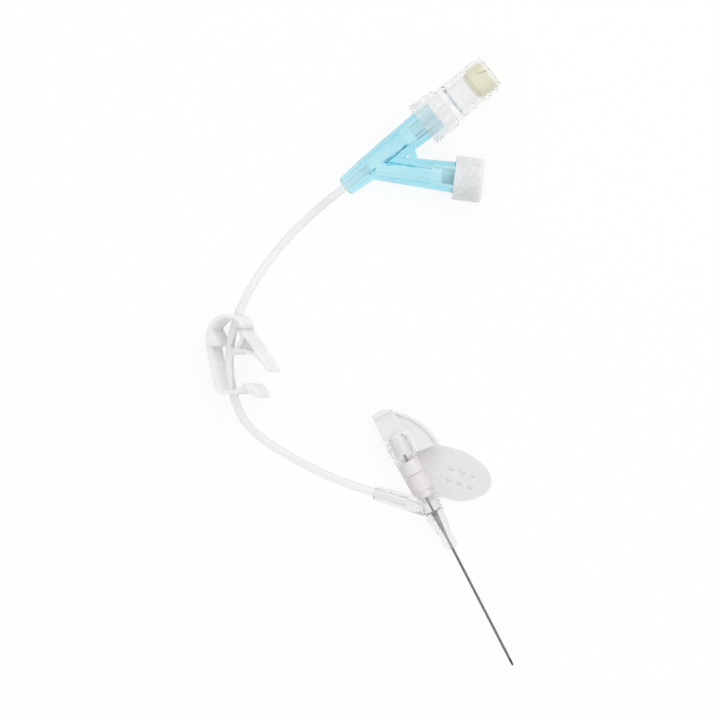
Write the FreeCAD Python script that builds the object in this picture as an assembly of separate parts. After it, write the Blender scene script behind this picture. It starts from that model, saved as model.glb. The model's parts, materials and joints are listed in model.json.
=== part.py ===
import FreeCAD, Part
import math
import os

# Closed-system Y-type IV cannula, lying flat on a table, in millimetres.
# Origin: the point of the table under the middle of the object. +Z is up.
# The catheter unit points to the lower right, the Y connector lies at the top.

Vector = FreeCAD.Vector
Placement = FreeCAD.Placement
Rotation = FreeCAD.Rotation
UP = Vector(0, 0, 1)
ALONG = Vector(1, 0, 0)

# Catheter unit. Its own frame has +X towards the needle's tip and +Y towards the wing.
# The frame's origin is on the barrel's axis, at the shoulder where the nose's cone starts.
hub_x = 18.45
hub_y = -38.0
hub_turn = -62.7
hub_axis_height = 4.4

needle_od = 0.63
needle_bore = 0.36
needle_beyond_nose = 33.0
needle_bevel_angle = 16.0
catheter_od = 0.94
catheter_wall = 0.10
catheter_tip_wall = 0.03
bevel_shown = 2.2
tip_taper_length = 2.5
running_gap = 0.02

barrel_length = 20.75
barrel_rear_radius = 3.2
barrel_front_radius = 2.6
barrel_bore_radius = 2.2
barrel_corner = 0.8
nose_cone_length = 6.25
nose_waist_radius = 1.55
nose_radius = 1.72
nose_swell = 8.3
nose_length = 10.25
nose_blend = 2.0
nose_rounding = 1.0
nose_seat_radius = 0.95
nose_bore_draft = 0.03
side_arm_angle = 46.3
side_arm_root = -0.6
side_arm_length = 15.4
side_arm_radius = 2.1
side_arm_chamfer = 0.7
side_arm_chamfer_length = 1.4
side_arm_insert = 8.8
side_passage_radius = 0.7
cut_past = 1.0
lug_length = 1.4
lug_height = 0.55
lug_root = 0.5
lug_toe = 0.1
lug_from_rear = 2.6

wedge_wall = 0.13
wedge_flange = 0.25
wedge_side_gap = 0.1
wedge_length = 5.5
flare_start = 1.0
flare_step = 0.4

septum_from_rear = 10.25
septum_length = 6.25
septum_neck_length = 1.7
septum_neck_radius = 1.7
septum_squeeze = 0.04
septum_ring_length = 3.65
septum_ring_gap = 0.1
septum_groove = 0.25

wing_thickness = 0.9
wing_root_length = 12.6
wing_root_front = 2.7
wing_root_side = 1.8
wing_root_height = 2.3
wing_root_top = 2.5
wing_root_foot = 3.1
wing_bed = 1.2
wing_span = 17.25
wing_reach = 16.87
dome_radius = 0.7
dome_height = 0.4
dome_spacing = 2.85
dome_angle = 45.0

boss_radius = 2.05
boss_length = 4.6
boss_rear_gap = 0.35
grip_plate_thickness = 1.2
grip_block_thickness = 2.6
grip_length = 7.15
grip_side = 2.75
grip_side_step = 0.4
grip_corner = 0.5
grip_barrel_gap = 0.3
grip_front = 5.15
grip_reach = 8.95
grip_rim_width = 0.7
grip_rim_height = 2.2
grip_lip_thickness = 3.4
grip_root_width = 2.0

# Outline points as (share along, share across). The wing's are shares of its span from the root's
# rear end and of its reach from the barrel's axis; the grip's are shares of its length from the
# barrel's rear end and of its reach.
wing_edge = [
    (0.046, 0.512),
    (0.186, 0.679),
    (0.359, 0.842),
    (0.566, 0.955),
    (0.739, 1.000),
    (0.884, 0.966),
    (0.966, 0.880),
    (1.000, 0.724),
    (0.971, 0.522),
    (0.896, 0.373),
    (0.783, 0.247),
]
first_dome = (0.450, 0.541)
grip_edge = [
    (-0.916, 0.268),
    (-0.559, 0.564),
    (-0.189, 0.771),
    (0.329, 0.944),
    (0.902, 1.000),
]
grip_lip = [
    (-0.893, -0.330, 0.0),
    (-1.083, -0.324, 0.060),
    (-1.100, 0.020, 0.170),
    (-0.916, 0.290, 0.010),
    (-0.923, 0.060, 0.100),
]

# Y connector. Its own frame has +X from the stem's end along the straight arm.
connector_x = -3.875
connector_y = 43.125
connector_turn = 38.4
connector_axis_height = 5.86
stem_end_radius = 2.5
stem_rounding = 1.2
stem_insert = 7.8
stem_to_crossing = 8.35
crossing_radius = 3.15
branch_root_radius = 3.05
branch_root_reach = 1.0
port_radius = 3.8
branch_port_radius = 3.92
port_rounding = 0.4
main_cap_face = 16.45
branch_cap_face = 21.0
port_in_cap = 4.25
branch_angle = 45.7
luer_mouth_radius = 2.15
luer_taper = 0.03
luer_depth = 10.0
stem_passage_radius = 0.8
passage_radius = 1.35
lug_ring_height = 0.3
lug_ring_width = 1.2
lug_ring_setback = 0.5
lug_ring_span = 3.2
gusset_reach = 11.8
gusset_rim = 1.9
gusset_rim_thickness = 6.0
gusset_web_thickness = 1.0

# Caps on the two ports.
luer_gap = 0.04
luer_beyond_face = 3.0
luer_bore_radius = 0.95
luer_tip_rounding = 0.2
skirt_radius = 4.4
skirt_depth = 5.8
cap_edge_rounding = 0.3
vent_cap_radius = 5.55
vent_cap_length = 7.3
vent_cap_rounding = 0.8
vent_rib_count = 60
vent_rib_depth = 0.18
vent_rib_setback = 0.4
filter_radius = 1.9
filter_thickness = 0.6
filter_recess = 0.9

collar_radius = 5.8
collar_shoulder_radius = 5.55
collar_length = 7.0
collar_chamfer = 0.9
collar_rib_count = 60
collar_rib_depth = 0.18
collar_rib_length = 5.8
collar_depth = 8.0
housing_root_radius = 4.97
housing_radius = 4.75
housing_length = 21.9
housing_wall = 0.7
housing_floor = 1.3
housing_blend = 0.5
housing_step = 0.5
chamber_rounding = 1.4
septum_plug_length = 4.5
septum_plug_dome = 1.1
housing_lip = 1.1
housing_lip_radius = 3.6
septum_lip_gap = 0.1
septum_dome = 0.35
slit_width = 0.12
slit_span = 3.4

# Extension tube and pinch clamp.
tube_od = 2.1
tube_gap = 0.02
floor_gap = 0.02
tube_bend_share = 0.45

clamp_x = -32.6
clamp_y = 1.875
clamp_tilt = 22.0
clamp_tube_height = 5.35
clamp_width = 7.5
clamp_band = 1.2
clamp_hole_gap = 0.2
clamp_bend_x = -0.4
clamp_bend_y = -0.4
clamp_bend_radius = 32.2
clamp_split_gap = 0.05
clamp_recess = 1.5
clamp_step = 0.3
clamp_reach = 12.4

# Clamp profile as (share across, share along, share for the rounding) of the clamp's reach,
# measured from the tube's axis.
clamp_arch = [
    (0.363, 0.468, 0.0),
    (0.363, 0.726, 0.240),
    (-0.343, 0.726, 0.400),
    (-0.347, 0.145, 0.323),
    (-0.190, -0.565, 0.323),
    (-0.105, -0.798, 0.129),
    (0.242, -0.798, 0.194),
    (0.484, -0.702, 0.073),
    (0.645, -0.823, 0.0),
]
clamp_hook = [
    (0.355, -0.766, 0.0),
    (0.419, -0.617, 0.040),
    (0.589, -0.637, 0.073),
    (0.750, -0.806, 0.065),
    (0.758, -0.911, 0.045),
    (0.685, -0.911, 0.040),
    (0.540, -0.750, 0.048),
]
clamp_fixed_tooth = [
    (-0.339, 0.508, 0.0),
    (-0.238, 0.427, 0.040),
    (-0.105, 0.169, 0.020),
    (-0.105, 0.121, 0.016),
    (-0.339, 0.121, 0.0),
]
clamp_lever_outline = [
    (0.411, 0.464, 0.0),
    (0.484, 0.331, 0.161),
    (0.758, -0.016, 0.484),
    (1.000, -0.363, 0.024),
    (0.935, -0.399, 0.024),
    (0.847, -0.238, 0.242),
    (0.694, -0.085, 0.282),
    (0.452, 0.004, 0.242),
    (0.238, -0.008, 0.032),
    (0.202, -0.048, 0.012),
    (0.117, 0.012, 0.016),
    (0.234, 0.089, 0.081),
    (0.379, 0.290, 0.161),
    (0.315, 0.464, 0.0),
]
clamp_lever_recess = [
    (0.428, 0.290, 0.020),
    (0.476, 0.258, 0.060),
    (0.677, 0.000, 0.020),
    (0.460, 0.062, 0.120),
    (0.318, 0.075, 0.020),
    (0.405, 0.210, 0.120),
]

hub_place = Vector(hub_x, hub_y, 0)
connector_place = Vector(connector_x, connector_y, 0)
clamp_place = Vector(clamp_x, clamp_y, 0)


def polar(radius, degrees):
    return Vector(radius * math.cos(math.radians(degrees)), radius * math.sin(math.radians(degrees)), 0)


def corner_arc(before, corner, after, radius):
    """First, middle and last point of the arc that rounds a corner."""
    back = (before - corner).normalize()
    on = (after - corner).normalize()
    half = back.getAngle(on) / 2
    reach = radius / math.tan(half)
    inward = (back + on).normalize()
    middle = corner + inward * (radius / math.sin(half) - radius)
    return corner + back * reach, middle, corner + on * reach


def rounded_outline(corners):
    """A closed wire through (point, radius) corners, with an arc at each corner that has a radius."""
    count = len(corners)
    rounds = []
    for i in range(count):
        point, radius = corners[i]
        if radius > 0:
            before = corners[i - 1][0]
            after = corners[(i + 1) % count][0]
            rounds.append(corner_arc(before, point, after, radius))
        else:
            rounds.append((point, None, point))
    edges = []
    for i in range(count):
        first, middle, last = rounds[i]
        if middle is not None:
            edges.append(Part.Arc(first, middle, last).toShape())
        following = rounds[(i + 1) % count][0]
        if (following - last).Length > 1e-6:
            edges.append(Part.LineSegment(last, following).toShape())
    return Part.Wire(edges)


def outline_face(corners):
    return Part.Face(rounded_outline(corners))


def turned(profile):
    """A solid of revolution about X, from corners (x, radius) or (x, radius, rounding)."""
    corners = []
    for corner in profile:
        rounding = corner[2] if len(corner) == 3 else 0
        corners.append((Vector(corner[0], corner[1], 0), rounding))
    return outline_face(corners).revolve(Vector(0, 0, 0), ALONG, 360)


def rod(radius, start, end):
    return Part.makeCylinder(radius, end - start, Vector(start, 0, 0), ALONG)


def cone(start_radius, end_radius, start, end):
    return Part.makeCone(start_radius, end_radius, end - start, Vector(start, 0, 0), ALONG)


def plate(corners, thickness):
    """A flat plate with the outline of the corners, half above and half below them."""
    face = outline_face(corners)
    face.translate(UP * (-thickness / 2))
    return face.extrude(UP * thickness)


def band_outline(path, thickness):
    """The outline of a strip of even thickness along an open path of (point, radius) corners."""
    left = []
    right = []
    last = len(path) - 1
    for i in range(len(path)):
        point, radius = path[i]
        before = path[max(i - 1, 0)][0]
        after = path[min(i + 1, last)][0]
        if i == 0:
            before = point - (after - point)
        if i == last:
            after = point + (point - before)
        into = (point - before).normalize()
        out = (after - point).normalize()
        normal_in = Vector(-into.y, into.x, 0)
        normal_out = Vector(-out.y, out.x, 0)
        offset = (normal_in + normal_out) * (thickness / 2 / (1 + normal_in.dot(normal_out)))
        turn = into.x * out.y - into.y * out.x
        side = thickness / 2 if turn > 0 else -thickness / 2
        left.append((point + offset, radius - side if radius > 0 else 0))
        right.append((point - offset, radius + side if radius > 0 else 0))
    return left + right[::-1]


def in_hub(shape):
    """Moves a shape from the catheter unit's frame to the table."""
    moved = shape.copy()
    place = Placement(hub_place + UP * hub_axis_height, Rotation(UP, hub_turn))
    moved.Placement = place.multiply(moved.Placement)
    return moved


def in_connector(shape):
    moved = shape.copy()
    place = Placement(connector_place + UP * connector_axis_height, Rotation(UP, connector_turn))
    moved.Placement = place.multiply(moved.Placement)
    return moved


def on_branch(shape):
    """Moves a shape built along X from the crossing onto the branch arm's axis."""
    moved = shape.copy()
    place = Placement(Vector(stem_to_crossing, 0, 0), Rotation(UP, -branch_angle))
    moved.Placement = place.multiply(moved.Placement)
    return moved


def on_side_arm(shape):
    """Moves a shape built along X from the barrel's axis onto the side arm's axis."""
    moved = shape.copy()
    place = Placement(Vector(side_arm_root, 0, 0), Rotation(UP, side_arm_angle - 180))
    moved.Placement = place.multiply(moved.Placement)
    return moved


def in_clamp(shape):
    moved = shape.copy()
    place = Placement(clamp_place + UP * clamp_tube_height, Rotation(Vector(0, 1, 0), -clamp_tilt))
    moved.Placement = place.multiply(moved.Placement)
    return moved


# Catheter, needle and hub

def seat_radius(x):
    """Radius of the nose's inner cone, which the catheter's flare and the wedge follow."""
    bore = catheter_od / 2 + nose_bore_draft + running_gap
    return nose_seat_radius + (bore - nose_seat_radius) * x / nose_cone_length


def barrel_radius(x):
    return barrel_front_radius + (barrel_rear_radius - barrel_front_radius) * -x / barrel_length


def catheter_hub():
    body = turned([
        (-barrel_length, 0),
        (-barrel_length, barrel_rear_radius, barrel_corner),
        (0, barrel_front_radius),
        (nose_cone_length, nose_waist_radius, nose_blend),
        (nose_swell, nose_radius, nose_blend),
        (nose_length, nose_radius, nose_rounding),
        (nose_length, 0),
    ])
    arm = turned([
        (0, 0),
        (0, side_arm_radius),
        (side_arm_length - side_arm_chamfer_length, side_arm_radius),
        (side_arm_length, side_arm_radius - side_arm_chamfer),
        (side_arm_length, 0),
    ])
    body = body.fuse(on_side_arm(arm))
    lug_x = -barrel_length + lug_from_rear
    lug_y = -barrel_radius(lug_x)
    lug = plate([
        (Vector(lug_x - lug_length / 2, lug_y + lug_root, 0), 0),
        (Vector(lug_x - lug_length / 2, lug_y - lug_height, 0), 0),
        (Vector(lug_x + lug_length / 2, lug_y + lug_toe, 0), 0),
        (Vector(lug_x + lug_length / 2, lug_y + lug_root, 0), 0),
    ], lug_length)
    body = body.fuse(lug)
    bore = rod(barrel_bore_radius, -barrel_length - cut_past, 0)
    seat = cone(nose_seat_radius, seat_radius(nose_cone_length), 0, nose_cone_length)
    mouth = catheter_od / 2 + running_gap
    way_out = cone(seat_radius(nose_cone_length), mouth, nose_cone_length, nose_length)
    socket = rod(tube_od / 2 + tube_gap, side_arm_length - side_arm_insert, side_arm_length + cut_past)
    passage = rod(side_passage_radius, 0, side_arm_length)
    for hollow in (bore, seat, way_out, on_side_arm(socket), on_side_arm(passage)):
        body = body.cut(hollow)
    return in_hub(body.removeSplitter())


def catheter_wedge():
    """The flared metal eyelet that holds the catheter's end in the nose."""
    outer_gap = catheter_wall + 3 * running_gap
    front_outer = seat_radius(wedge_length) - outer_gap
    rear_outer = seat_radius(0) - outer_gap
    flange_radius = barrel_bore_radius - wedge_side_gap
    return in_hub(turned([
        (-wedge_flange - running_gap, flange_radius),
        (-running_gap, flange_radius),
        (-running_gap, rear_outer),
        (wedge_length, front_outer),
        (wedge_length, needle_od / 2 + running_gap),
        (-running_gap, rear_outer - wedge_wall),
        (-wedge_flange - running_gap, rear_outer),
    ]))


def catheter_tube():
    """Soft tube over the needle, flared at the rear over the wedge and thinned at the tip."""
    outer = catheter_od / 2
    inner = needle_od / 2 + running_gap
    end = nose_length + needle_beyond_nose - bevel_shown
    straight_end = end - tip_taper_length
    return in_hub(turned([
        (flare_start, seat_radius(flare_start) - running_gap),
        (nose_cone_length, outer + nose_bore_draft),
        (nose_length, outer),
        (straight_end, outer),
        (end, inner + catheter_tip_wall),
        (end, inner),
        (wedge_length + flare_step, inner),
        (wedge_length + running_gap, seat_radius(wedge_length) - running_gap - catheter_wall),
        (flare_start, seat_radius(flare_start) - running_gap - catheter_wall),
    ]))


def septum():
    """Rubber plug that seals round the needle: two lands with a groove, and a narrower neck."""
    land = barrel_bore_radius + septum_squeeze
    rear = -barrel_length + septum_from_rear
    front = rear + septum_length
    neck_start = front - septum_neck_length
    hole = needle_od / 2 + running_gap
    return in_hub(turned([
        (rear, hole),
        (rear, land, septum_groove),
        (neck_start, land, septum_groove),
        (neck_start, septum_neck_radius),
        (front, septum_neck_radius),
        (front, hole),
    ]))


def septum_ring():
    """Retaining ring pressed in behind the rubber plug."""
    land = barrel_bore_radius + septum_squeeze
    front = -barrel_length + septum_from_rear - septum_ring_gap
    return in_hub(turned([
        (front - septum_ring_length, needle_od),
        (front - septum_ring_length, land, septum_groove),
        (front, land, septum_groove),
        (front, needle_od),
    ]))


def needle():
    tip = nose_length + needle_beyond_nose
    start = -barrel_length - boss_rear_gap
    tube = rod(needle_od / 2, start, tip).cut(rod(needle_bore / 2, start - cut_past, tip + cut_past))
    slant = Part.makeBox(needle_od * 12, needle_od * 4, needle_od * 4, Vector(0, -needle_od * 2, 0))
    slant.rotate(Vector(0, 0, 0), Vector(0, 1, 0), needle_bevel_angle)
    bevel_run = needle_od / math.tan(math.radians(needle_bevel_angle))
    slant.translate(Vector(tip - bevel_run, 0, needle_od / 2))
    return in_hub(tube.cut(slant))


def needle_handle():
    """Needle holder: boss inside the barrel, block behind it and a finger plate beside it."""
    rear = -barrel_length - grip_length
    slot_end = -barrel_length - boss_rear_gap
    plate_side = barrel_rear_radius + grip_barrel_gap
    block = plate([
        (Vector(rear, -grip_side, 0), grip_corner),
        (Vector(rear, grip_side - grip_side_step, 0), grip_corner),
        (Vector(slot_end, plate_side, 0), 0),
        (Vector(slot_end, -grip_side - grip_side_step, 0), grip_side_step),
    ], grip_block_thickness)
    edge = [Vector(-barrel_length + along * grip_length, across * grip_reach, 0) for along, across in grip_edge]
    free_edge = Part.BSplineCurve()
    free_edge.interpolate(edge)
    front_inner = Vector(-barrel_length + grip_front, plate_side, 0)
    slot_corner = Vector(slot_end, plate_side, 0)
    block_corner = Vector(slot_end, plate_side - grip_root_width, 0)
    block_rear = Vector(edge[0].x, plate_side - grip_root_width, 0)
    plate_face = Part.Face(Part.Wire([
        free_edge.toShape(),
        Part.LineSegment(edge[-1], front_inner).toShape(),
        Part.LineSegment(front_inner, slot_corner).toShape(),
        Part.LineSegment(slot_corner, block_corner).toShape(),
        Part.LineSegment(block_corner, block_rear).toShape(),
        Part.LineSegment(block_rear, edge[0]).toShape(),
    ]))
    plate_face.translate(UP * (-grip_plate_thickness / 2))
    finger_plate = plate_face.extrude(UP * grip_plate_thickness)
    inner_points = []
    for i in range(len(edge)):
        before = edge[max(i - 1, 0)]
        after = edge[min(i + 1, len(edge) - 1)]
        heading = (after - before).normalize()
        inner_points.append(edge[i] + Vector(heading.y, -heading.x, 0) * grip_rim_width)
    inner_edge = Part.BSplineCurve()
    inner_edge.interpolate(inner_points)
    rim_face = Part.Face(Part.Wire([
        free_edge.toShape(),
        Part.LineSegment(edge[-1], inner_points[-1]).toShape(),
        inner_edge.toShape(),
        Part.LineSegment(inner_points[0], edge[0]).toShape(),
    ]))
    rim_face.translate(UP * (-grip_rim_height / 2))
    rim = rim_face.extrude(UP * grip_rim_height)
    lip_corners = []
    for along, across, rounding in grip_lip:
        corner = Vector(-barrel_length + along * grip_length, across * grip_reach, 0)
        lip_corners.append((corner, rounding * grip_reach))
    lip = plate(lip_corners, grip_lip_thickness)
    boss = rod(boss_radius, slot_end - grip_corner, slot_end + boss_rear_gap + boss_length)
    body = block.fuse([finger_plate, rim, lip, boss])
    body = body.cut(rod(needle_od / 2, slot_end, 0))
    return in_hub(body.removeSplitter())


def wing():
    """Soft wing: a flat plate on one side, with a bed under the barrel and six finger domes."""
    rear = -wing_root_front - wing_root_length
    edge = [Vector(rear + along * wing_span, across * wing_reach, 0) for along, across in wing_edge]
    edge.append(Vector(-wing_root_front, barrel_radius(-wing_root_front), 0))
    free_edge = Part.BSplineCurve()
    free_edge.interpolate(edge)
    front_root = Vector(-wing_root_front, -wing_root_side, 0)
    rear_root = Vector(rear, -wing_root_side, 0)
    rear_corner = Vector(rear, barrel_rear_radius, 0)
    outline = Part.Wire([
        free_edge.toShape(),
        Part.LineSegment(edge[-1], front_root).toShape(),
        Part.LineSegment(front_root, rear_root).toShape(),
        Part.LineSegment(rear_root, rear_corner).toShape(),
        Part.LineSegment(rear_corner, edge[0]).toShape(),
    ])
    blade = Part.Face(outline).extrude(UP * wing_thickness)
    section = Part.Face(Part.makePolygon([
        Vector(rear, -wing_root_side, 0),
        Vector(rear, -wing_root_side, wing_bed),
        Vector(rear, wing_root_top, wing_root_height),
        Vector(rear, wing_root_foot, wing_thickness),
        Vector(rear, wing_root_foot, 0),
        Vector(rear, -wing_root_side, 0),
    ]))
    root = section.extrude(ALONG * wing_root_length)
    body = blade.fuse(root)
    first = Vector(rear + first_dome[0] * wing_span, first_dome[1] * wing_reach, 0)
    ball_radius = (dome_radius ** 2 + dome_height ** 2) / (2 * dome_height)
    for row in range(2):
        for column in range(3):
            across = polar(dome_spacing * column, dome_angle)
            spot = first + across + polar(dome_spacing * row, dome_angle - 90)
            ball = Part.makeSphere(ball_radius, spot + UP * (wing_thickness + dome_height - ball_radius))
            above = Part.makeCylinder(2 * dome_radius, 2 * dome_height, spot + UP * (wing_thickness / 2))
            body = body.fuse(ball.common(above))
    bed = cone(barrel_rear_radius + running_gap, barrel_front_radius + running_gap, -barrel_length, 0)
    bed.translate(UP * hub_axis_height)
    body = body.cut(bed)
    moved = body.removeSplitter()
    moved.Placement = Placement(hub_place, Rotation(UP, hub_turn)).multiply(moved.Placement)
    return moved


# Y connector and its caps

def luer_socket(mouth, depth):
    """Tapered socket that opens along +X at the mouth."""
    return cone(luer_mouth_radius - luer_taper * depth, luer_mouth_radius, mouth - depth, mouth)


def port_lugs(radius, port_end):
    """Pair of luer-lock lugs at a port's end."""
    start = port_end - lug_ring_setback - lug_ring_width
    ring = rod(radius + lug_ring_height, start, start + lug_ring_width)
    corner = Vector(start, -lug_ring_span / 2, -2 * radius)
    return ring.common(Part.makeBox(lug_ring_width, lug_ring_span, 4 * radius, corner))


def y_connector():
    main_end = stem_to_crossing + main_cap_face + port_in_cap
    branch_end = branch_cap_face + port_in_cap
    main = turned([
        (0, 0),
        (0, stem_end_radius, stem_rounding),
        (stem_to_crossing, crossing_radius),
        (stem_to_crossing + main_cap_face, port_radius),
        (main_end, port_radius, port_rounding),
        (main_end, 0),
    ])
    branch = turned([
        (-branch_root_reach, 0),
        (-branch_root_reach, branch_root_radius, branch_root_reach),
        (branch_cap_face, branch_port_radius),
        (branch_end, branch_port_radius, port_rounding),
        (branch_end, 0),
    ])
    crossing = Vector(stem_to_crossing, 0, 0)
    sweep_start = polar(gusset_reach, 0)
    sweep_middle = polar(gusset_reach, -branch_angle / 2)
    sweep_end = polar(gusset_reach, -branch_angle)
    sector = Part.Face(Part.Wire([
        Part.LineSegment(Vector(0, 0, 0), sweep_start).toShape(),
        Part.Arc(sweep_start, sweep_middle, sweep_end).toShape(),
        Part.LineSegment(sweep_end, Vector(0, 0, 0)).toShape(),
    ]))
    sector.translate(crossing)
    web = sector.copy()
    web.translate(UP * (-gusset_web_thickness / 2))
    web = web.extrude(UP * gusset_web_thickness)
    rim = sector.copy()
    rim.translate(UP * (-gusset_rim_thickness / 2))
    rim = rim.extrude(UP * gusset_rim_thickness)
    inner_height = 2 * gusset_rim_thickness
    inner = Part.makeCylinder(gusset_reach - gusset_rim, inner_height, crossing - UP * (inner_height / 2), UP)
    rim = rim.cut(inner)
    main_lugs = port_lugs(port_radius, main_end)
    branch_lugs = on_branch(port_lugs(branch_port_radius, branch_end))
    body = main.fuse([on_branch(branch), web, rim, main_lugs, branch_lugs])
    socket = rod(tube_od / 2 + tube_gap, -cut_past, stem_insert)
    stem_passage = rod(stem_passage_radius, 0, stem_to_crossing)
    passage = rod(passage_radius, stem_to_crossing, main_end)
    branch_passage = on_branch(rod(passage_radius, passage_radius, branch_end))
    mouth_main = luer_socket(main_end, luer_depth)
    mouth_branch = on_branch(luer_socket(branch_end, luer_depth))
    for hollow in (socket, stem_passage, passage, branch_passage, mouth_main, mouth_branch):
        body = body.cut(hollow)
    return in_connector(body.removeSplitter())


def male_luer_radius(from_mouth):
    """Radius of a cap's cone, at a distance inside the port's mouth."""
    return luer_mouth_radius - luer_taper * from_mouth - luer_gap


def grip_grooves(body, count, radius, start, length, depth):
    """Cuts fine V grooves along a cap's outside."""
    side = radius / 5
    for i in range(count):
        groove = Part.makeBox(length, side, side, Vector(start, 0, 0))
        groove.rotate(Vector(0, 0, 0), ALONG, 45)
        groove.translate(UP * (radius - depth))
        groove.rotate(Vector(0, 0, 0), ALONG, 360.0 * i / count)
        body = body.cut(groove)
    return body


def vent_cap():
    face = branch_cap_face
    end = face + vent_cap_length
    floor = face + skirt_depth
    tip = face - luer_beyond_face
    mouth = face + port_in_cap
    body = turned([
        (face, skirt_radius),
        (face, vent_cap_radius, cap_edge_rounding),
        (end, vent_cap_radius, vent_cap_rounding),
        (end, filter_radius + running_gap),
        (end - filter_recess, filter_radius + running_gap),
        (end - filter_recess, luer_bore_radius),
        (tip, luer_bore_radius),
        (tip, male_luer_radius(mouth - tip), luer_tip_rounding),
        (floor, male_luer_radius(mouth - floor)),
        (floor, skirt_radius),
    ])
    start = face + vent_rib_setback
    body = grip_grooves(body, vent_rib_count, vent_cap_radius, start, vent_cap_length, vent_rib_depth)
    return in_connector(on_branch(body.removeSplitter()))


def vent_filter():
    end = branch_cap_face + vent_cap_length
    seat = end - filter_recess + running_gap
    return in_connector(on_branch(rod(filter_radius - running_gap, seat, seat + filter_thickness)))


def injection_cap():
    """Clear housing: grooved collar over the port, and a chamber that ends in the rubber plug's seat."""
    face = stem_to_crossing + main_cap_face
    mouth = face + port_in_cap
    end = face + housing_length
    floor = face + collar_depth
    tip = face - luer_beyond_face
    chamber_start = floor + housing_floor
    plug_radius = housing_radius - housing_wall
    plug_start = end - septum_plug_length - housing_lip
    body = turned([
        (face, skirt_radius),
        (face, collar_radius, cap_edge_rounding),
        (face + collar_length, collar_shoulder_radius, cap_edge_rounding),
        (face + collar_length + collar_chamfer, housing_root_radius, cap_edge_rounding),
        (end, housing_radius, housing_blend),
        (end, housing_lip_radius),
        (end - housing_lip, housing_lip_radius),
        (end - housing_lip, plug_radius),
        (plug_start, plug_radius),
        (plug_start, plug_radius - housing_step),
        (chamber_start, plug_radius - housing_step, chamber_rounding),
        (chamber_start, luer_bore_radius),
        (tip, luer_bore_radius),
        (tip, male_luer_radius(mouth - tip), luer_tip_rounding),
        (floor, male_luer_radius(mouth - floor)),
        (floor, skirt_radius),
    ])
    start = face + vent_rib_setback
    body = grip_grooves(body, collar_rib_count, collar_radius, start, collar_rib_length, collar_rib_depth)
    return in_connector(body.removeSplitter())


def injection_septum():
    """Rubber plug with a domed inner end and a slit that a blunt tip goes through."""
    end = stem_to_crossing + main_cap_face + housing_length
    plug_radius = housing_radius - housing_wall - running_gap
    back = end - septum_plug_length - housing_lip + running_gap
    front = end - housing_lip - running_gap
    lip_radius = housing_lip_radius - septum_lip_gap
    dome_edge = plug_radius - housing_step - septum_lip_gap
    plug = turned([
        (back - septum_plug_dome, 0),
        (back - septum_plug_dome, dome_edge, septum_plug_dome),
        (back, dome_edge),
        (back, plug_radius),
        (front, plug_radius),
        (front, lip_radius),
        (front + septum_dome, 0),
    ])
    slit_length = 2 * septum_plug_length
    slit = Part.makeBox(slit_length, slit_span, slit_width,
                        Vector(end - slit_length / 2, -slit_span / 2, -slit_width / 2))
    return in_connector(plug.cut(slit))


# Pinch clamp

def clamp_corners(shares):
    """Corners of the clamp's profile from their shares of its reach, as (point, rounding)."""
    return [(Vector(across, along, 0) * clamp_reach, rounding * clamp_reach) for across, along, rounding in shares]


def clamp_parts():
    """The clamp's frame and its lever, which the real moulding joins at a thin hinge."""
    arch = plate(band_outline(clamp_corners(clamp_arch), clamp_band), clamp_width)
    hook = plate(clamp_corners(clamp_hook), clamp_width)
    fixed_tooth = plate(clamp_corners(clamp_fixed_tooth), clamp_width)
    frame = arch.fuse([hook, fixed_tooth])
    step_top = clamp_fixed_tooth[3][1] * clamp_reach
    step_foot = clamp_arch[4][1] * clamp_reach
    for side in (-1, 1):
        step = Part.makeBox(clamp_reach / 2, step_top - step_foot, clamp_step,
                            Vector(-clamp_reach / 2, step_foot, -clamp_step / 2))
        step.translate(UP * (side * clamp_width / 2))
        frame = frame.cut(step)
    lever = plate(clamp_corners(clamp_lever_outline), clamp_width)
    recess = outline_face(clamp_corners(clamp_lever_recess))
    for side in (-1, 1):
        pocket = recess.extrude(UP * (2 * clamp_recess))
        pocket.translate(UP * (side * clamp_width / 2 - clamp_recess))
        lever = lever.cut(pocket)
    tube_way = Part.makeTorus(clamp_bend_radius, tube_od / 2 + clamp_hole_gap)
    tube_way.translate(Vector(clamp_bend_x, clamp_bend_y, clamp_tube_height))
    return in_clamp(frame).cut(tube_way), in_clamp(lever)


# Extension tube: corners of its route, chosen by hand, from the connector to the hub

tube_floor = tube_od / 2 + floor_gap
tube_route = [
    Vector(2.24, 47.97, connector_axis_height),
    Vector(-7.17, 40.52, connector_axis_height),
    Vector(-11.95, 36.73, tube_floor),
    Vector(-17.60, 31.20, tube_floor),
    Vector(-22.20, 25.90, tube_floor),
    Vector(-26.90, 18.80, clamp_tube_height),
    Vector(-30.04, 12.79, clamp_tube_height),
    Vector(-32.35, 5.23, clamp_tube_height),
    Vector(-32.76, -2.66, clamp_tube_height),
    Vector(-31.25, -10.42, clamp_tube_height),
    Vector(-28.70, -15.85, clamp_tube_height),
    Vector(-23.90, -20.20, 5.05),
    Vector(-17.10, -24.40, 4.55),
    Vector(-9.00, -28.60, 4.30),
    Vector(-0.60, -31.95, hub_axis_height),
    Vector(11.84, -35.60, hub_axis_height),
]


def bent_path(route):
    """Straight runs joined by tangent arcs, each arc as large as its two runs allow."""
    edges = []
    position = route[0]
    for i in range(1, len(route) - 1):
        before = route[i - 1]
        corner = route[i]
        after = route[i + 1]
        shorter = min((corner - before).Length, (after - corner).Length)
        half_turn = (corner - before).getAngle(after - corner) / 2
        radius = tube_bend_share * shorter / math.tan(half_turn)
        first, middle, last = corner_arc(before, corner, after, radius)
        edges.append(Part.LineSegment(position, first).toShape())
        edges.append(Part.Arc(first, middle, last).toShape())
        position = last
        print("bend", i, "radius", round(radius, 1), "turn", round(math.degrees(2 * half_turn), 1),
              "run", round((corner - before).Length, 1))
    edges.append(Part.LineSegment(position, route[-1]).toShape())
    return Part.Wire(edges)


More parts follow.
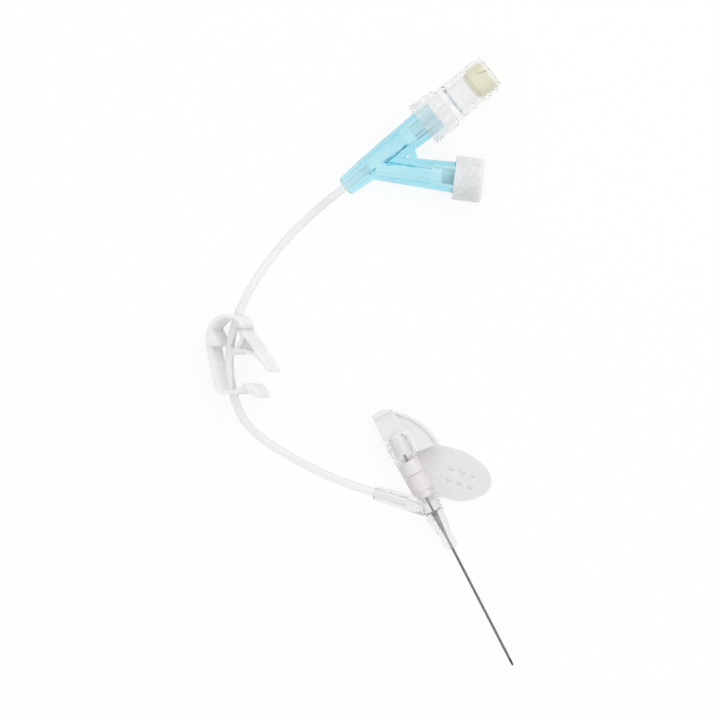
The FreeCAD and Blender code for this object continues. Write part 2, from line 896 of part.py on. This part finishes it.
def extension_tube():
    path = bent_path(tube_route)
    heading = (tube_route[1] - tube_route[0]).normalize()
    section = Part.Wire(Part.makeCircle(tube_od / 2, tube_route[0], heading))
    solid = path.makePipeShell([section], True, False)
    area = math.pi * tube_od ** 2 / 4
    print("tube length", round(path.Length, 2), "volume", round(solid.Volume, 2),
          "section times length", round(area * path.Length, 2))
    return solid


clamp_frame, clamp_lever = clamp_parts()
nodes = {
    "catheter_hub": catheter_hub(),
    "catheter_wedge": catheter_wedge(),
    "catheter_tube": catheter_tube(),
    "septum_plug": septum(),
    "septum_ring": septum_ring(),
    "wing": wing(),
    "needle": needle(),
    "needle_handle": needle_handle(),
    "y_connector": y_connector(),
    "vent_cap": vent_cap(),
    "vent_filter": vent_filter(),
    "injection_cap": injection_cap(),
    "injection_septum": injection_septum(),
    "clamp_frame": clamp_frame,
    "clamp_lever": clamp_lever,
    "extension_tube": extension_tube(),
}

os.makedirs("parts", exist_ok=True)
for name, shape in nodes.items():
    shape.exportStep("parts/" + name + ".step")
    box = shape.BoundBox
    print(name, "solids", len(shape.Solids), "valid", shape.isValid(), "volume", round(shape.Volume, 2),
          "box", [round(v, 2) for v in (box.XMin, box.XMax, box.YMin, box.YMax, box.ZMin, box.ZMax)])
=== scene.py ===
import json

import bpy
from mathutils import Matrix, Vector


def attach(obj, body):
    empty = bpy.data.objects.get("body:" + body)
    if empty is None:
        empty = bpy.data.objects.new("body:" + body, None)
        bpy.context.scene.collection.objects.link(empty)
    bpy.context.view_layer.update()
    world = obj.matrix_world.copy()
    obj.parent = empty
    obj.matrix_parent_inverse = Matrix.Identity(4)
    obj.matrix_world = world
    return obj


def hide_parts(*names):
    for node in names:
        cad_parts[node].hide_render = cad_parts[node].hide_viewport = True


# Lengths are in metres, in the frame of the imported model. Only the tube's route is written in millimetres.

MM = 0.001

# Camera, straight above the object
VIEW_WIDTH = 0.180
CAMERA_HEIGHT = 2.0
MIDDLE_HEIGHT = 0.005
SENSOR = 36.0
NEAREST_SEEN = 0.05
FARTHEST_SEEN = 20.0

# Floor; the glow is a share of what the camera sees of it, also in gloss and through clear plastic
FLOOR_HALF_SIDE = 3.0
FLOOR_GREY = 0.95
FLOOR_GLOW = 1.0
FLOOR_GLOW_SHARE = 0.85

# Square lamps, both turned to the origin; power in watts
KEY_PLACE = (0.35, 1.0, 0.9)
KEY_SIZE = 1.5
KEY_POWER = 5.6
SIDE_PLACE = (1.0, -0.1, 0.9)
SIDE_SIZE = 1.2
SIDE_POWER = 1.6

# Room; the heights are the upward part of a direction, from 0 at the horizon to 1 overhead
HORIZON_COLOUR = (0.32, 0.32, 0.33)
HORIZON_HEIGHT = 0.08
OVERHEAD_HEIGHT = 0.55
ROOM_STRENGTH = 0.9

# Surface detail; the scales of the noises are in features per metre
MOTTLE_SCALE = 900
GRAIN_SCALE = 6000
GRAIN_STRENGTH = 0.3
GRAIN_DEPTH = 0.00002
FLOW_SCALE = 1200
FLOW_CHANGE = 0.2
DRAWING_SCALE = 3000
NOISE_LOW = 0.3
NOISE_HIGH = 0.7
SUBSURFACE_REACH = 0.003
HAZE_ROUGHNESS = 0.35

# Light that has bounced more often than this inside clear plastic goes straight on, or it would end as black.
MOST_BOUNCES = 3

# The painted shade of the slit that shows through the yellow plug: a dark streak from near the middle of its
# end face inwards
SLIT_START = (0.03241, 0.07252, 0)
SLIT_END = (0.0283, 0.07085, 0)
SLIT_HALF_WIDTH = 0.00035
SLIT_SHADE_COLOUR = (0.22, 0.22, 0.17)

# A streak of painted shade has this much of its colour up to these shares of its length and half width, then
# it fades.
STREAK_STRENGTH = 0.9
STREAK_FULL_LENGTH = 0.2
STREAK_FULL_WIDTH = 0.3

TUBE_DIAMETER = 0.0021
CURVE_STEPS = 12
ROUND_STEPS = 6

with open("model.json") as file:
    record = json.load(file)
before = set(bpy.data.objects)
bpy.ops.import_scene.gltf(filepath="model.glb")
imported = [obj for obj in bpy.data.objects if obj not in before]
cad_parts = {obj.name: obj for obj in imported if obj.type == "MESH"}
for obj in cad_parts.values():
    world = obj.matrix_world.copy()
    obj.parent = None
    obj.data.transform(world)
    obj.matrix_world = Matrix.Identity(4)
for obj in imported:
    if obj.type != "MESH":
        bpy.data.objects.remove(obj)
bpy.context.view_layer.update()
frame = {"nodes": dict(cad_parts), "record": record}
nodes = frame["nodes"]


# Shader helpers

def grey(value):
    """A colour without hue."""
    return (value, value, value)


WHITE = grey(1.0)


def new_material(name):
    """An empty node tree with its output."""
    material = bpy.data.materials.new(name)
    material.use_nodes = True
    tree = material.node_tree
    tree.nodes.clear()
    output = tree.nodes.new("ShaderNodeOutputMaterial")
    return material, tree, output


def feed(tree, value, socket):
    """Link a socket to another one, or set it to a number."""
    if isinstance(value, (int, float)):
        socket.default_value = value
    else:
        tree.links.new(value, socket)


def calculate(tree, operation, first, second=0.0):
    """Math node; second is a number or a socket, and ABSOLUTE doesn't use it."""
    node = tree.nodes.new("ShaderNodeMath")
    node.operation = operation
    tree.links.new(first, node.inputs[0])
    feed(tree, second, node.inputs[1])
    return node.outputs["Value"]


def any_of(tree, *reasons):
    """1 where at least one of these sockets gives 1."""
    result = reasons[0]
    for reason in reasons[1:]:
        result = calculate(tree, "MAXIMUM", result, reason)
    return result


def vector_math(tree, operation, vector, other):
    """Vector Math with a fixed second vector; returns the Vector or, for a dot product, the Value."""
    node = tree.nodes.new("ShaderNodeVectorMath")
    node.operation = operation
    tree.links.new(vector, node.inputs[0])
    node.inputs[1].default_value = other
    return node.outputs["Value" if operation == "DOT_PRODUCT" else "Vector"]


def map_range(tree, value, from_low, from_high, to_low, to_high):
    """Turn one range of numbers into another; what lies outside it stays at its ends."""
    node = tree.nodes.new("ShaderNodeMapRange")
    tree.links.new(value, node.inputs["Value"])
    node.inputs["From Min"].default_value = from_low
    node.inputs["From Max"].default_value = from_high
    node.inputs["To Min"].default_value = to_low
    node.inputs["To Max"].default_value = to_high
    return node.outputs["Result"]


def mix_shaders(tree, factor, first, second):
    """Mix Shader; factor is a number or a socket."""
    mix = tree.nodes.new("ShaderNodeMixShader")
    feed(tree, factor, mix.inputs["Fac"])
    tree.links.new(first, mix.inputs[1])
    tree.links.new(second, mix.inputs[2])
    return mix.outputs["Shader"]


def noise(tree, scale, detail=2.0):
    """Noise in object space; scale is in features per metre."""
    place = tree.nodes.new("ShaderNodeTexCoord")
    texture = tree.nodes.new("ShaderNodeTexNoise")
    texture.inputs["Scale"].default_value = scale
    texture.inputs["Detail"].default_value = detail
    tree.links.new(place.outputs["Object"], texture.inputs["Vector"])
    return texture.outputs["Fac"]


def ramp(tree, factor, low, high, start=NOISE_LOW, end=NOISE_HIGH):
    """Colour ramp between two RGB colours."""
    node = tree.nodes.new("ShaderNodeValToRGB")
    node.color_ramp.elements[0].position = start
    node.color_ramp.elements[0].color = (*low, 1)
    node.color_ramp.elements[1].position = end
    node.color_ramp.elements[1].color = (*high, 1)
    tree.links.new(factor, node.inputs["Fac"])
    return node.outputs["Color"]


def bump(tree, height, strength, distance):
    """The surface's normal, tilted by a height in the texture; distance is the height of a full step."""
    node = tree.nodes.new("ShaderNodeBump")
    node.inputs["Strength"].default_value = strength
    node.inputs["Distance"].default_value = distance
    tree.links.new(height, node.inputs["Height"])
    return node.outputs["Normal"]


# Materials

def opaque_plastic(name, low, high, roughness, subsurface=0.0):
    """Moulded plastic or rubber with slight mottling between two colours and a fine moulded surface."""
    material, tree, output = new_material(name)
    shader = tree.nodes.new("ShaderNodeBsdfPrincipled")
    shader.inputs["Roughness"].default_value = roughness
    shader.inputs["Subsurface Weight"].default_value = subsurface
    shader.inputs["Subsurface Radius"].default_value = (SUBSURFACE_REACH,) * 3
    shader.inputs["Subsurface Scale"].default_value = 1.0
    mottle = noise(tree, MOTTLE_SCALE, detail=3.0)
    tree.links.new(ramp(tree, mottle, low, high), shader.inputs["Base Color"])
    grain = noise(tree, GRAIN_SCALE)
    tree.links.new(bump(tree, grain, GRAIN_STRENGTH, GRAIN_DEPTH), shader.inputs["Normal"])
    tree.links.new(shader.outputs["BSDF"], output.inputs["Surface"])
    return material


def clear_plastic(name, tint, ior, roughness, haze=0.0, haze_colour=WHITE, shadow=grey(0.98)):
    """Clear plastic that bends what is seen through it, and can be slightly milky.

    Light on its way to what lies inside or behind it goes straight through, so that it arrives only once.
    """
    material, tree, output = new_material(name)
    glass = tree.nodes.new("ShaderNodeBsdfPrincipled")
    glass.inputs["Base Color"].default_value = (*tint, 1)
    glass.inputs["Transmission Weight"].default_value = 1.0
    glass.inputs["IOR"].default_value = ior
    smoothest = (1 - FLOW_CHANGE) * roughness
    roughest = (1 + FLOW_CHANGE) * roughness
    flow = map_range(tree, noise(tree, FLOW_SCALE), NOISE_LOW, NOISE_HIGH, smoothest, roughest)
    tree.links.new(flow, glass.inputs["Roughness"])
    body = glass.outputs["BSDF"]
    if haze > 0:
        milk = tree.nodes.new("ShaderNodeBsdfPrincipled")
        milk.inputs["Base Color"].default_value = (*haze_colour, 1)
        milk.inputs["Roughness"].default_value = HAZE_ROUGHNESS
        body = mix_shaders(tree, haze, body, milk.outputs["BSDF"])
    through = tree.nodes.new("ShaderNodeBsdfTransparent")
    through.inputs["Color"].default_value = (*shadow, 1)
    path = tree.nodes.new("ShaderNodeLightPath")
    trapped = calculate(tree, "GREATER_THAN", path.outputs["Ray Depth"], MOST_BOUNCES)
    straight = any_of(tree, path.outputs["Is Shadow Ray"], path.outputs["Is Diffuse Ray"], trapped)
    surface = mix_shaders(tree, straight, body, through.outputs["BSDF"])
    tree.links.new(surface, output.inputs["Surface"])
    return material


def absorb(material, colour, density):
    """Colours the light that passes through the plastic, more where it is thicker; density is per metre."""
    tree = material.node_tree
    volume = tree.nodes.new("ShaderNodeVolumeAbsorption")
    volume.inputs["Color"].default_value = (*colour, 1)
    volume.inputs["Density"].default_value = density
    tree.links.new(volume.outputs["Volume"], tree.nodes["Material Output"].inputs["Volume"])


def painted_shade_streak(material, start, end, half_width, colour):
    """A straight streak of painted shade, level with the floor, that fades towards its end and its sides."""
    tree = material.node_tree
    shader = tree.nodes["Principled BSDF"]
    plain = shader.inputs["Base Color"].links[0].from_socket
    along = Vector(end) - Vector(start)
    length = along.length
    along.normalize()
    across = Vector((-along.y, along.x, 0))
    place = tree.nodes.new("ShaderNodeTexCoord")
    offset = vector_math(tree, "SUBTRACT", place.outputs["Object"], start)
    distance = vector_math(tree, "DOT_PRODUCT", offset, along)
    aside = calculate(tree, "ABSOLUTE", vector_math(tree, "DOT_PRODUCT", offset, across))
    lengthwise = map_range(tree, distance, STREAK_FULL_LENGTH * length, length, 1.0, 0.0)
    sideways = map_range(tree, aside, STREAK_FULL_WIDTH * half_width, half_width, STREAK_STRENGTH, 0.0)
    mix = tree.nodes.new("ShaderNodeMixRGB")
    tree.links.new(calculate(tree, "MULTIPLY", lengthwise, sideways), mix.inputs["Fac"])
    tree.links.new(plain, mix.inputs["Color1"])
    mix.inputs["Color2"].default_value = (*colour, 1)
    tree.links.new(mix.outputs["Color"], shader.inputs["Base Color"])


def steel(name, low, high, roughness):
    """Drawn steel that varies between two greys."""
    material, tree, output = new_material(name)
    shader = tree.nodes.new("ShaderNodeBsdfPrincipled")
    shader.inputs["Metallic"].default_value = 1.0
    shader.inputs["Roughness"].default_value = roughness
    tree.links.new(ramp(tree, noise(tree, DRAWING_SCALE), low, high), shader.inputs["Base Color"])
    tree.links.new(shader.outputs["BSDF"], output.inputs["Surface"])
    return material


materials = {
    "clear_plastic": clear_plastic(
        "hub_clear", tint=grey(0.97), ior=1.38, roughness=0.10, haze=0.14, haze_colour=(0.77, 0.76, 0.765)
    ),
    "steel": steel("drawn_steel", low=(0.09, 0.09, 0.095), high=(0.14, 0.14, 0.145), roughness=0.28),
    "catheter_plastic": clear_plastic(
        "catheter_soft", tint=grey(0.96), ior=1.08, roughness=0.08, haze=0.06, haze_colour=grey(0.80)
    ),
    "cream_rubber": opaque_plastic(
        "cream_rubber", low=(0.81, 0.765, 0.755), high=(0.84, 0.79, 0.785), roughness=0.55, subsurface=0.1
    ),
    "cream_plastic": opaque_plastic(
        "cream_plastic", low=(0.825, 0.805, 0.785), high=(0.85, 0.83, 0.81), roughness=0.35, subsurface=0.1
    ),
    "wing_plastic": opaque_plastic(
        "soft_wing", low=(0.77, 0.75, 0.755), high=(0.81, 0.79, 0.795), roughness=0.45, subsurface=0.05
    ),
    "handle_plastic": opaque_plastic(
        "handle_white", low=(0.79, 0.775, 0.78), high=(0.83, 0.815, 0.82), roughness=0.3, subsurface=0.2
    ),
    "blue_plastic": clear_plastic(
        "connector_blue", tint=(0.93, 0.98, 0.99), ior=1.49, roughness=0.12, shadow=(0.95, 0.98, 0.985)
    ),
    "white_plastic": opaque_plastic(
        "white_moulded", low=grey(0.82), high=grey(0.86), roughness=0.35, subsurface=0.9
    ),
    "filter_disc": opaque_plastic(
        "filter_porous", low=(0.75, 0.75, 0.73), high=(0.82, 0.82, 0.80), roughness=0.8
    ),
    "cap_plastic": clear_plastic(
        "cap_milky", tint=grey(0.97), ior=1.45, roughness=0.10, haze=0.11, haze_colour=(0.90, 0.895, 0.905)
    ),
    "yellow_rubber": opaque_plastic(
        "yellow_rubber", low=(0.735, 0.72, 0.475), high=(0.79, 0.76, 0.525), roughness=0.5, subsurface=0.1
    ),
    "tube_plastic": clear_plastic(
        "tube_soft", tint=grey(0.97), ior=1.40, roughness=0.12, haze=0.26, haze_colour=grey(0.78)
    ),
}
absorb(materials["blue_plastic"], colour=(0.25, 0.80, 0.90), density=185.0)
# Painted shade: the slit in the yellow plug, drawn as a dark streak in the rubber's colour.
painted_shade_streak(materials["yellow_rubber"], SLIT_START, SLIT_END, SLIT_HALF_WIDTH, SLIT_SHADE_COLOUR)

slots = {entry["node"]: entry["material_slot"] for entry in frame["record"]["subparts"]}
for name, node in nodes.items():
    node.material_slots[0].material = materials[slots[name]]


# Extension tube: the points of the solid's route, in millimetres. The second and third lie 1.4 mm nearer to
# the connector than the solid's, so that the tube is on the floor where the needle's finger plate passes.

FLOOR_LINE = 1.07
CONNECTOR_LINE = 5.86
CLAMP_LINE = 5.35
HUB_LINE = 4.4
tube_route = [
    (2.24, 47.97, CONNECTOR_LINE),
    (-6.00, 41.45, CONNECTOR_LINE),
    (-10.90, 37.60, FLOOR_LINE),
    (-17.60, 31.20, FLOOR_LINE),
    (-22.20, 25.90, FLOOR_LINE),
    (-26.90, 18.80, CLAMP_LINE),
    (-30.04, 12.79, CLAMP_LINE),
    (-32.35, 5.23, CLAMP_LINE),
    (-32.76, -2.66, CLAMP_LINE),
    (-31.25, -10.42, CLAMP_LINE),
    (-28.70, -15.85, CLAMP_LINE),
    (-23.90, -20.20, 5.05),
    (-17.10, -24.40, 4.55),
    (-9.00, -28.60, 4.30),
    (-0.60, -31.95, HUB_LINE),
    (11.84, -35.60, HUB_LINE),
]


def spline_object(name, points, radius):
    """A round tube on a NURBS curve with these control points."""
    curve = bpy.data.curves.new(name, "CURVE")
    curve.dimensions = "3D"
    curve.bevel_depth = radius
    curve.bevel_resolution = ROUND_STEPS
    curve.resolution_u = CURVE_STEPS
    curve.use_fill_caps = True
    spline = curve.splines.new("NURBS")
    spline.points.add(len(points) - 1)
    for control, point in zip(spline.points, points):
        control.co = (*point, 1)
    spline.order_u = 3
    spline.use_endpoint_u = True
    obj = bpy.data.objects.new(name, curve)
    bpy.context.scene.collection.objects.link(obj)
    return obj


route = [Vector(point) * MM for point in tube_route]
tube = spline_object("soft_extension_tube", route, TUBE_DIAMETER / 2)
tube.data.materials.append(materials["tube_plastic"])
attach(tube, "line")
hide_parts("extension_tube")


# Camera, floor and light

def look_down():
    """The camera, with the object's middle height as wide as the view."""
    camera = bpy.data.cameras.new("camera")
    camera.sensor_width = SENSOR
    camera.lens = SENSOR * (CAMERA_HEIGHT - MIDDLE_HEIGHT) / VIEW_WIDTH
    camera.clip_start = NEAREST_SEEN
    camera.clip_end = FARTHEST_SEEN
    obj = bpy.data.objects.new("camera", camera)
    obj.location = (0, 0, CAMERA_HEIGHT)
    bpy.context.scene.collection.objects.link(obj)
    bpy.context.scene.camera = obj


def floor():
    """A white sheet that keeps the object's shadow."""
    side = FLOOR_HALF_SIDE
    mesh = bpy.data.meshes.new("floor")
    corners = [(-side, -side, 0), (side, -side, 0), (side, side, 0), (-side, side, 0)]
    mesh.from_pydata(corners, [], [(0, 1, 2, 3)])
    obj = bpy.data.objects.new("floor", mesh)
    bpy.context.scene.collection.objects.link(obj)
    material, tree, output = new_material("paper_floor")
    paper = tree.nodes.new("ShaderNodeBsdfDiffuse")
    paper.inputs["Color"].default_value = (*grey(FLOOR_GREY), 1)
    glow = tree.nodes.new("ShaderNodeEmission")
    glow.inputs["Strength"].default_value = FLOOR_GLOW
    path = tree.nodes.new("ShaderNodeLightPath")
    rays = ("Is Camera Ray", "Is Glossy Ray", "Is Transmission Ray")
    seen = any_of(tree, *(path.outputs[ray] for ray in rays))
    share = calculate(tree, "MULTIPLY", seen, FLOOR_GLOW_SHARE)
    surface = mix_shaders(tree, share, paper.outputs["BSDF"], glow.outputs["Emission"])
    tree.links.new(surface, output.inputs["Surface"])
    mesh.materials.append(material)


def square_lamp(name, location, size, power):
    """A square lamp that is turned to the origin."""
    light = bpy.data.lights.new(name, "AREA")
    light.shape = "SQUARE"
    light.size = size
    light.energy = power
    obj = bpy.data.objects.new(name, light)
    obj.location = location
    obj.rotation_euler = (-Vector(location)).to_track_quat("-Z", "Y").to_euler()
    bpy.context.scene.collection.objects.link(obj)


def surroundings():
    """A white room that is darker towards the horizon, so that clear edges have something dark to bend."""
    world = bpy.data.worlds.new("room")
    bpy.context.scene.world = world
    world.use_nodes = True
    tree = world.node_tree
    tree.nodes.clear()
    output = tree.nodes.new("ShaderNodeOutputWorld")
    place = tree.nodes.new("ShaderNodeTexCoord")
    parts = tree.nodes.new("ShaderNodeSeparateXYZ")
    tree.links.new(place.outputs["Generated"], parts.inputs["Vector"])
    shade = ramp(tree, parts.outputs["Z"], HORIZON_COLOUR, WHITE, HORIZON_HEIGHT, OVERHEAD_HEIGHT)
    light = tree.nodes.new("ShaderNodeBackground")
    light.inputs["Strength"].default_value = ROOM_STRENGTH
    tree.links.new(shade, light.inputs["Color"])
    tree.links.new(light.outputs["Background"], output.inputs["Surface"])


look_down()
floor()
square_lamp("key", KEY_PLACE, KEY_SIZE, KEY_POWER)
square_lamp("side", SIDE_PLACE, SIDE_SIZE, SIDE_POWER)
surroundings()
bpy.context.scene.view_settings.view_transform = "Standard"
